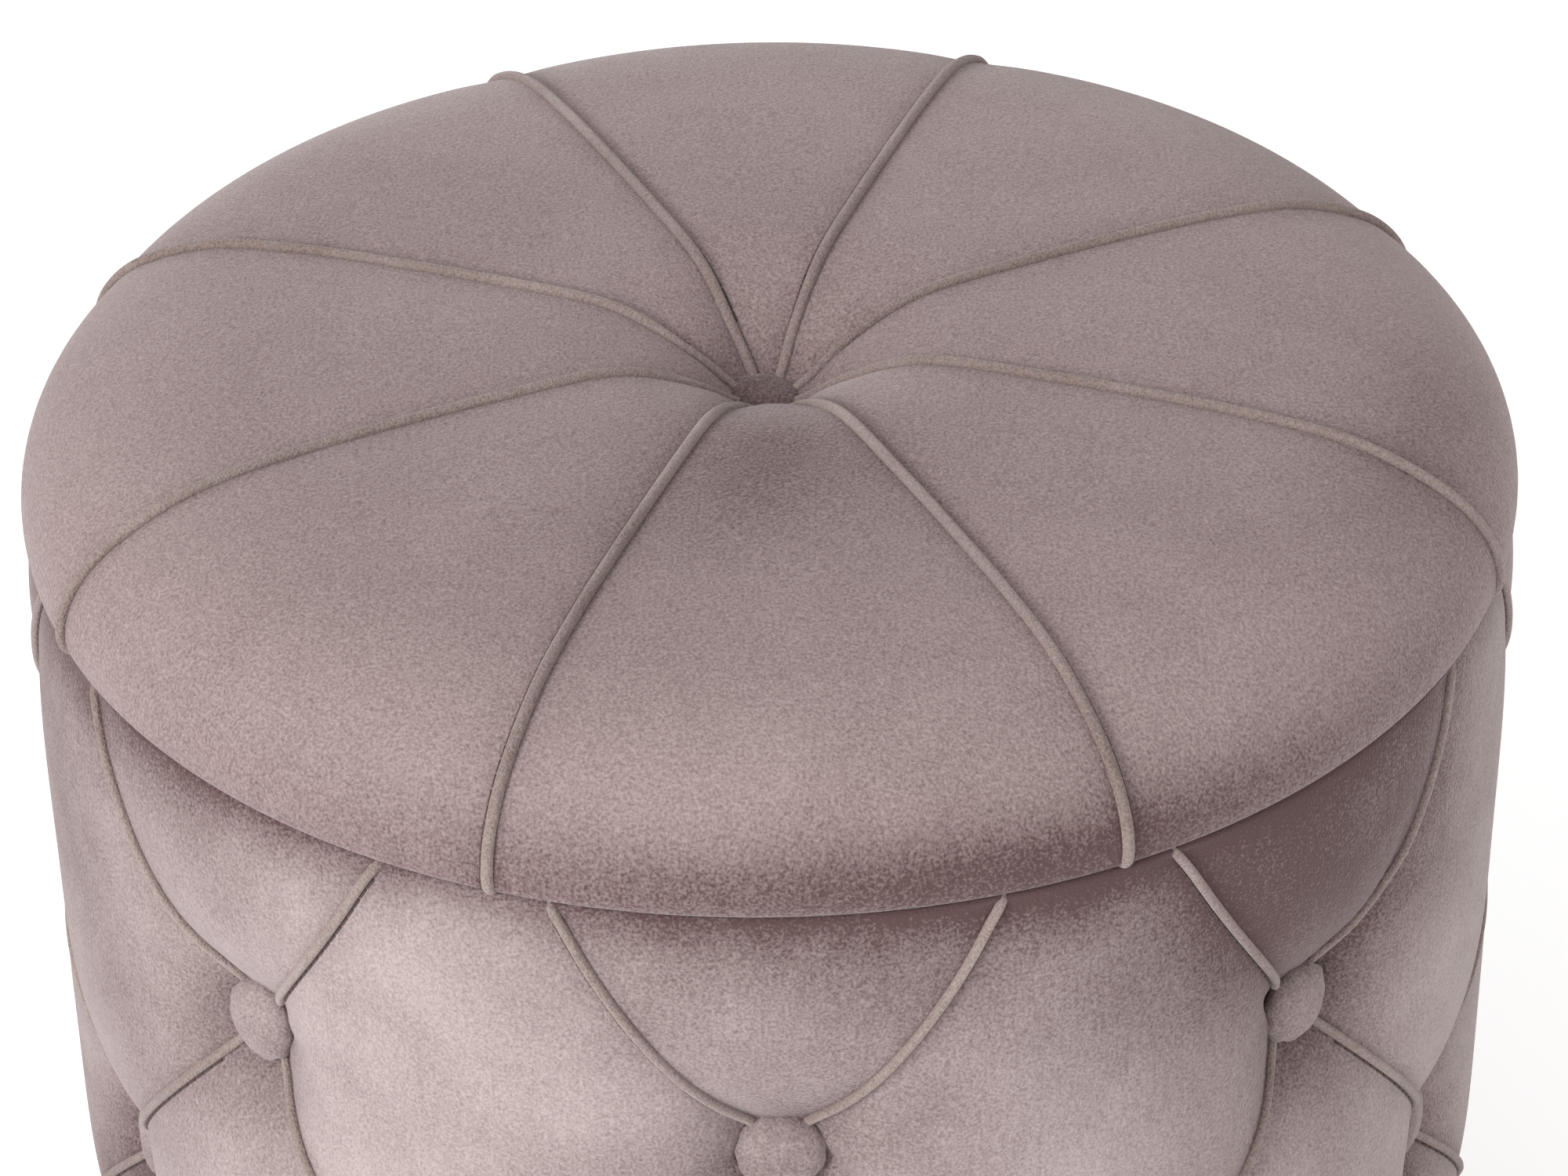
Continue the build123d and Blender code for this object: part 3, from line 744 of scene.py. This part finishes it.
def piped(name, paths, surface, piping_radius, body, replaced, dives):
    """Piping along paths on a cushion, and its stitching. dives says how each end sinks in."""
    welt_paths, stitch_paths = [], []
    for path in paths:
        fine = smooth_path(path, path_step)
        centre, normals = on_surface(fine, surface, piping_radius * 0.45)
        for end, order in ((0, 1), (1, -1)):
            depth, reach = dives[end]
            run = np.arange(len(fine))[::order] * path_step
            centre -= normals * (depth * np.clip(1 - run / reach, 0, 1) ** 1.5)[:, None]
        for _ in range(3):
            centre[1:-1] = (centre[:-2] + 2 * centre[1:-1] + centre[2:]) / 4
        welt_paths.append(centre)
        foot = centre + lower_side(centre, normals) * (piping_radius + 0.0003)
        foot, _ = on_surface(foot[10:-6], surface, 0.00003)
        stitch_paths.append(foot)
    piping = grown(path_object(name, welt_paths), welts, Radius=piping_radius, Cloth=welt_velvet)
    stitches = grown(
        path_object(name + "_stitches", stitch_paths),
        stitching,
        Pitch=0.0042,
        Length=0.0036,
        Thickness=0.00042,
        Thread=seam_thread_and_shadow_line,
    )
    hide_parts(replaced)
    for piece in (piping, stitches):
        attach(piece, body)


drum_surface = BVHTree.FromObject(drum_cover, bpy.context.evaluated_depsgraph_get())
drum_final = mesh_points(drum_cover)
drum_paths = []
for run in drum_seams:
    inner = [drum_final[(first_outer + down) * around + across] for across, down in run[1:]]
    if run[-1][1] in (0, last_row):
        at_edge, before = np.array(inner[-1]), np.array(inner[-3])
        onward = (at_edge - before) / abs(at_edge[2] - before[2])
        outward = np.array([at_edge[0], at_edge[1], 0]) / math.hypot(at_edge[0], at_edge[1])
        inner.append(at_edge + onward * 0.0032 - outward * 0.0010)
        inner.append(at_edge + onward * 0.0050 - outward * 0.0050)
    drum_paths.append(inner)
dive = (0.0012, 0.008)  # how deep an end of the piping sinks in, and over what length
piped("drum_piped_seams", drum_paths, drum_surface, 0.00145, "drum", "body_piping", (dive, dive))

# Covered buttons: a domed metal blank wrapped in velvet that is gathered behind its edge, one at
# each crossing of the seams, tied back through the foam.
button_velvet = velvet_material("button_velvet", laid_mauve, raised_mauve, 0.45, 0.45)
# The lid's button velvet has a low nap and so reads darker: painted shade for the hollow it sits sunk in.
shaded_sunk_velvet = velvet_material("shaded_sunk_button_velvet", laid_mauve, raised_mauve, 0.14, 0.25)
button_rise = 0.0062


def covered_button(seat, facing, seed):
    """Points and faces of one covered button, from its gathered back to the top of its dome."""
    chance = np.random.default_rng(seed)
    facing = facing / np.linalg.norm(facing)
    across = np.cross([0, 0, 1], facing) if abs(facing[2]) < 0.9 else np.array([1.0, 0, 0])
    across /= np.linalg.norm(across)
    up = np.cross(facing, across)
    outline = [(0.55, -0.35), (0.86, -0.30), (0.985, 0.02), (1.0, 0.20), (0.975, 0.38), (0.90, 0.56)]
    outline += [(0.78, 0.73), (0.62, 0.86), (0.44, 0.945), (0.24, 0.985), (0.08, 1.0)]
    segments = 48
    turns = 2 * math.pi * np.arange(segments) / segments
    gathers = chance.uniform(0.5, 1.0, 3)
    phases = chance.uniform(0, 2 * math.pi, 4)
    rings = []
    for share, rise in outline:
        pleat = 0.035 * max(0.0, share - 0.7) / 0.3 * gathers[0] * np.cos(11 * turns + phases[0])
        slack = 0.018 * share * gathers[1] * np.cos(3 * turns + phases[1])
        dent = 0.05 * share * (1 - share) * 4 * gathers[2] * np.cos(2 * turns + phases[2])
        radius = button_radius * share * (1 + pleat + slack)
        height = button_rise * (rise + dent)
        sideways = np.outer(radius * np.cos(turns), across) + np.outer(radius * np.sin(turns), up)
        rings.append(seat + sideways + np.outer(height, facing))
    points, faces = tube_of_rings(rings, closed=False)
    faces = [face[::-1] for face in faces]
    points = np.concatenate([points, [seat + facing * button_rise, seat - facing * 0.35 * button_rise]])
    last = (len(outline) - 1) * segments
    for step in range(segments):
        after = (step + 1) % segments
        faces.append((last + step, last + after, len(points) - 2))
        faces.append((after, step, len(points) - 1))
    return points, faces


def buttons_piece(name, seats, material):
    points, faces = [], []
    for seed, (seat, facing) in enumerate(seats):
        one_points, one_faces = covered_button(np.array(seat), np.array(facing, float), seed + 3)
        start = sum(len(group) for group in points)
        points.append(one_points)
        faces += [tuple(start + corner for corner in face) for face in one_faces]
    return mesh_piece(name, np.concatenate(points), faces, material)


button_seats = []
for index, (angle, height) in enumerate(drum_buttons):
    facing = (math.sin(angle), -math.cos(angle), 0.06 * math.cos(1.7 * index) + 0.03)
    depth = button_seat + 0.0012 + 0.0006 * math.sin(3.1 * index)
    button_seats.append(((depth * math.sin(angle), -depth * math.cos(angle), height), facing))
drum_button_caps = buttons_piece("drum_buttons", button_seats, button_velvet)
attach(drum_button_caps, "drum")
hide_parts("body_button_caps")

# The lid's cushion: foam and wadding on a board under a velvet cover of eight wedges, drawn down
# to a button at the middle, over the edge, and turned under the board.
lid_turn = math.radians(2.4)
wedge_steps = 36
lid_around = wedge_steps * columns
seam_outline = [
    (0.0040, 0.0222), (0.0125, 0.0240), (0.0240, 0.0325), (0.0480, 0.0440), (0.0830, 0.0458),
    (0.1170, 0.0458), (0.1500, 0.0447), (0.1790, 0.0410), (0.2030, 0.0305), (0.2150, 0.0190),
    (0.2190, 0.0090), (0.2194, 0.0022),
]
flat_line = smooth_path([(radius, 0, height) for radius, height in seam_outline], 0.0050)
lid_line = flat_line[:, [0, 2]]
ahead = np.gradient(lid_line, axis=0)
outward_normal = np.stack([-ahead[:, 1], ahead[:, 0]], axis=1)
outward_normal /= np.linalg.norm(outward_normal, axis=1, keepdims=True)
run_length = np.concatenate([[0], np.cumsum(np.linalg.norm(np.diff(lid_line, axis=0), axis=1))])
total_run = run_length[-1]
lid_angle = lid_turn + math.pi / columns + 2 * math.pi * np.arange(lid_around) / lid_around
across_wedge = np.abs((np.arange(lid_around) % wedge_steps) / wedge_steps * 2 - 1)
panel_crown = (1 - across_wedge**2) ** 0.8
crown_height = 0.0005 + 0.0022 * bump_at(run_length, 0.026, 0.018)
crown_height += 0.0013 * bump_at(run_length, total_run - 0.035, 0.030)
crown_height *= np.clip(run_length / 0.012, 0, 1)
lid_rings = []
for (radius, height), (out, rise), crown in zip(lid_line, outward_normal, crown_height):
    swell = crown * panel_crown
    lid_rings.append(ring(radius + out * swell, lid_bottom + height + rise * swell, lid_angle))
hollow_radius = 0.0135
held_rows = [index for index, radius in enumerate(lid_line[:, 0]) if radius < hollow_radius]
lid_outer = len(lid_rings)
board_radius, board_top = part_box("lid_board")[1][0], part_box("lid_board")[1][2]
underside = arc((0.2174, lid_bottom + 0.0020), 0.0020, 0, -90, 4)[1:]
underside += [(0.205, lid_bottom), (0.180, lid_bottom), (0.1505, lid_bottom)]
underside.append((0.150, lid_bottom + cloth_thickness))
underside += [(board_radius, lid_bottom + cloth_thickness), (board_radius, board_top)]
lid_rings += [ring(radius, height, lid_angle) for radius, height in underside]
wadding_depth = 0.0060
for (radius, height), (out, rise) in reversed(list(zip(lid_line, outward_normal))):
    inner_height = lid_bottom + height - rise * wadding_depth
    if inner_height > board_top + 0.001:
        lid_rings.append(ring(max(radius - out * wadding_depth, 0.003), inner_height, lid_angle))
lid_points, lid_faces = tube_of_rings(lid_rings, closed=False)
close_ends(lid_faces, lid_around, len(lid_rings))
lid_cover = mesh_piece("lid_upholstery", lid_points, lid_faces, lid_velvet)
lid_held = np.zeros((len(lid_rings), lid_around), bool)
lid_held[held_rows] = True
lid_held[lid_outer:] = True
lid_held[:, ::wedge_steps] = True
inflated(lid_cover, lid_held.ravel(), 8.0, 0.0025)

# The lid's nap and painted shade: a darker patch in front of the button, a light shoulder, a dark
# band round the front of the edge, darker at the right of the shoulder; painted shade in the button's
# hollow, in dark lines beside the seams, and along the bottom of the edge where its rounding catches light.
lid_radii = np.array([np.hypot(*points[0][:2]) for points in lid_rings])[:, None]
lid_heights = np.array([points[0][2] - lid_bottom for points in lid_rings])[:, None]
lid_side = wrapped(lid_angle)[None, :]
facing_front = bump_at(lid_side, 0.25, 0.75)
on_shoulder = lid_radii > 0.17
lid_nap_and_shade = 0.56 - 0.34 * bump_at(lid_side, 0.0, 0.6) * bump_at(lid_radii, 0.060, 0.055)
lid_nap_and_shade = lid_nap_and_shade + 0.10 * bump_at(lid_side, -0.1, 1.2) * bump_at(lid_heights, 0.031, 0.010) * on_shoulder
lid_nap_and_shade -= 0.52 * facing_front * bump_at(lid_heights, 0.0085, 0.0115) * on_shoulder
lid_nap_and_shade -= 0.22 * bump_at(lid_side, 1.25, 0.28) * bump_at(lid_radii, 0.195, 0.022)
# Painted shade in the hollow round the button.
lid_nap_and_shade -= 0.25 * bump_at(lid_radii, 0.0, 0.020)
# Painted shade: dark lines beside the seams.
lid_seam_gap = lid_radii * math.pi / columns * (1 - across_wedge)[None, :]
lid_nap_and_shade -= 0.16 * np.exp(-lid_seam_gap / 0.004)
# Painted shade along the bottom of the edge, against the light that its rounding catches.
lid_nap_and_shade -= 0.12 * bump_at(lid_heights, 0.0, 0.0045) * on_shoulder
paint_nap_and_shade(lid_cover, lid_nap_and_shade)
subdivided(lid_cover)
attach(lid_cover, "lid")
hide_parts("lid_cover", "lid_wadding")

lid_surface = BVHTree.FromObject(lid_cover, bpy.context.evaluated_depsgraph_get())
lid_final = mesh_points(lid_cover)
lid_paths = []
seam_rows = range(held_rows[-1], lid_outer + 5)
for seam in range(columns):
    lid_paths.append([lid_final[row * lid_around + seam * wedge_steps] for row in seam_rows])
lid_dives = ((0.0010, 0.006), (0.0034, 0.010))
piped("lid_piped_seams", lid_paths, lid_surface, 0.0017, "lid", "lid_piping", lid_dives)

lid_seat_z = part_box("lid_button_back")[0][2]
lid_button = buttons_piece("lid_button", [((-0.0022, 0, lid_seat_z), (0.02, -0.03, 1))], shaded_sunk_velvet)
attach(lid_button, "lid")
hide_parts("lid_button_cap")

# Lining cloth: black non-woven polypropylene with its small bonded dimples, inside the storage
# space, under the lid and over the underside.


def lining_material():
    material = plain_material("lining_cloth", (0.020, 0.020, 0.023), 0.72)
    tree = material.node_tree
    shader = tree.nodes["Principled BSDF"]
    shader.inputs["Specular IOR Level"].default_value = 0.35
    place = node(tree, "ShaderNodeTexCoord", (-1000, 0))
    bonds = node(tree, "ShaderNodeTexVoronoi", (-750, -100), Scale=620.0, Randomness=0.15)
    fibres = node(tree, "ShaderNodeTexNoise", (-750, 200), Scale=260.0, Detail=4.0, Roughness=0.7)
    for texture in (bonds, fibres):
        tree.links.new(place.outputs["Object"], texture.inputs["Vector"])
    tone = node(tree, "ShaderNodeMix", (-350, 200))
    tone.data_type = "RGBA"
    tone.inputs["A"].default_value = (0.012, 0.012, 0.014, 1)
    tone.inputs["B"].default_value = (0.042, 0.042, 0.047, 1)
    tree.links.new(fibres.outputs["Fac"], tone.inputs["Factor"])
    tree.links.new(tone.outputs["Result"], shader.inputs["Base Color"])
    bump = node(tree, "ShaderNodeBump", (-250, -250), Strength=0.6, Distance=0.0003)
    tree.links.new(bonds.outputs["Distance"], bump.inputs["Height"])
    tree.links.new(bump.outputs["Normal"], shader.inputs["Normal"])
    return material


lining = lining_material()


def cloth_disc(name, rings, height_of, thickness):
    """A closed round of cloth through rings (radius, height), height_of(x, y) added to them."""
    segments = 96
    angle = 2 * math.pi * np.arange(segments) / segments
    front = [ring(radius, height, angle) for radius, height in rings]
    for points in front:
        points[:, 2] += height_of(points[:, 0], points[:, 1])
    ahead = np.gradient(np.array(rings), axis=0)
    back_way = np.stack([ahead[:, 1], -ahead[:, 0]], axis=1) / np.linalg.norm(ahead, axis=1, keepdims=True)
    back = []
    for points, (out, rise) in zip(front, back_way):
        radius = np.hypot(points[:, 0], points[:, 1])
        outwards = 1 + out * thickness / radius
        scaled = points * np.stack([outwards, outwards, 1 + 0 * radius], axis=1)
        back.append(scaled + [0, 0, rise * thickness])
    points, faces = tube_of_rings(front + back[::-1], closed=False)
    close_ends(faces, segments, 2 * len(rings))
    return mesh_piece(name, points, faces, lining)


# The floor lining: a round of lining cloth laid loose on the storage space's floor, so it lies in
# slight waves.
floor_low, floor_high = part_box("floor_lining")
floor_radius = floor_high[0]


def floor_waves(x, y):
    edge = np.clip((floor_radius - np.hypot(x, y)) / 0.02, 0, 1)
    return edge * 0.0007 * (1 + np.sin(31 * x + 11 * y + 0.7) * np.sin(17 * y - 9 * x))


floor_rings = [(radius, floor_high[2]) for radius in np.linspace(0.006, floor_radius, 26)]
floor_cloth = cloth_disc("floor_lining_cloth", floor_rings, floor_waves, floor_high[2] - floor_low[2])
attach(floor_cloth, "drum")
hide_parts("floor_lining")

# The dust cover: lining cloth stretched over the underside and stapled round its edge, which it
# puckers between the staples.
dust_radius, _, dust_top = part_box("dust_cover")[1]


def dust_puckers(x, y):
    edge = bump_at(np.hypot(x, y), dust_radius - 0.006, 0.012)
    return 0.00025 * edge * np.sin(24 * np.arctan2(y, x))


dust_thickness = 0.0004
dust_rings = [(radius, dust_top - 0.0001) for radius in np.linspace(0.006, dust_radius, 26)]
dust_cloth = cloth_disc("dust_cover_cloth", dust_rings, dust_puckers, dust_thickness)
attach(dust_cloth, "drum")
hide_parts("dust_cover")

# The lid's lining: lining cloth wrapped over the locating disc and up its edge, where it is
# gathered into small folds and caught under the lid's board.
disc_low, disc_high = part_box("lid_lining")
disc_radius = disc_high[0]


def lining_folds(x, y):
    edge = bump_at(np.hypot(x, y), disc_radius, 0.004)
    return 0.00015 * edge * np.sin(40 * np.arctan2(y, x))


lining_thickness = 0.0006
turn_round = 0.0015
turn_centre = (disc_radius - turn_round, disc_low[2] + turn_round + 0.0002)
lining_face = disc_low[2] + 0.0002 + lining_thickness
lid_lining_rings = [(radius, lining_face) for radius in np.linspace(0.006, turn_centre[0] - 0.004, 24)]
lid_lining_rings += arc(turn_centre, turn_round - lining_thickness, -90, 0, 3)
lid_lining_rings += [(disc_radius - lining_thickness, disc_high[2] - rise) for rise in (0.004, 0.0006)]
lid_lining = cloth_disc("lid_lining_cloth", lid_lining_rings, lining_folds, lining_thickness)
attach(lid_lining, "lid")
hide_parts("lid_lining")

# The carcass: fibreboard discs, softwood posts, brown hardboard, foam and tufting twine. Each
# material is two close tones mixed by its own grain.
even = (1, 1, 1)
board_dark, board_light = (0.30, 0.205, 0.115), (0.46, 0.34, 0.205)
fibreboard = grained_material("fibreboard", board_dark, board_light, 0.75, 180.0, (1, 1, 0.4))
softwood = grained_material("softwood", (0.42, 0.26, 0.12), (0.66, 0.47, 0.26), 0.6, 140.0, (1, 1, 0.05))
hardboard = grained_material("hardboard", (0.13, 0.068, 0.030), (0.25, 0.145, 0.070), 0.55, 300.0, even)
foam = grained_material("pale_foam", (0.62, 0.57, 0.44), (0.80, 0.76, 0.64), 0.9, 900.0, even, 0.0004)
twine = grained_material("waxed_twine", (0.50, 0.42, 0.28), (0.72, 0.64, 0.48), 0.6, 900.0, (1, 1, 0.3))

# Hardware: zinc-plated steel screws, staples and button backs, white moulded washers, and the
# four black moulded feet with their fine grained skin.
fine = 0.00005
zinc = grained_material("zinc_plate", (0.40, 0.40, 0.41), (0.62, 0.62, 0.63), 0.32, 500.0, even, fine)
zinc.node_tree.nodes["Principled BSDF"].inputs["Metallic"].default_value = 1.0
washer_dark, washer_light = (0.66, 0.66, 0.64), (0.74, 0.74, 0.72)
white_plastic = grained_material("white_plastic", washer_dark, washer_light, 0.45, 700.0, even, fine)
foot_dark, foot_light = (0.010, 0.010, 0.011), (0.018, 0.018, 0.020)
black_plastic = grained_material("black_plastic", foot_dark, foot_light, 0.42, 900.0, even, 0.0001)

finishes = {
    fibreboard: ("base_board", "rim_ring", "lid_board", "locating_disc"),
    softwood: ("frame_posts",),
    hardboard: ("frame_panel", "storage_floor"),
    lining: ("storage_liner",),
    foam: ("lid_foam",),
    twine: ("body_button_twines", "lid_button_twine"),
    zinc: ("foot_screws", "frame_screws", "locating_screws", "dust_cover_staples", "hem_staples",
           "liner_staples", "lid_cover_staples", "body_button_backs", "lid_button_back"),
    white_plastic: ("body_button_washers", "lid_button_washer"),
    black_plastic: ("feet",),
}
for finish, names in finishes.items():
    for name in names:
        mesh = bpy.data.objects[name].data
        mesh.materials.clear()
        mesh.materials.append(finish)
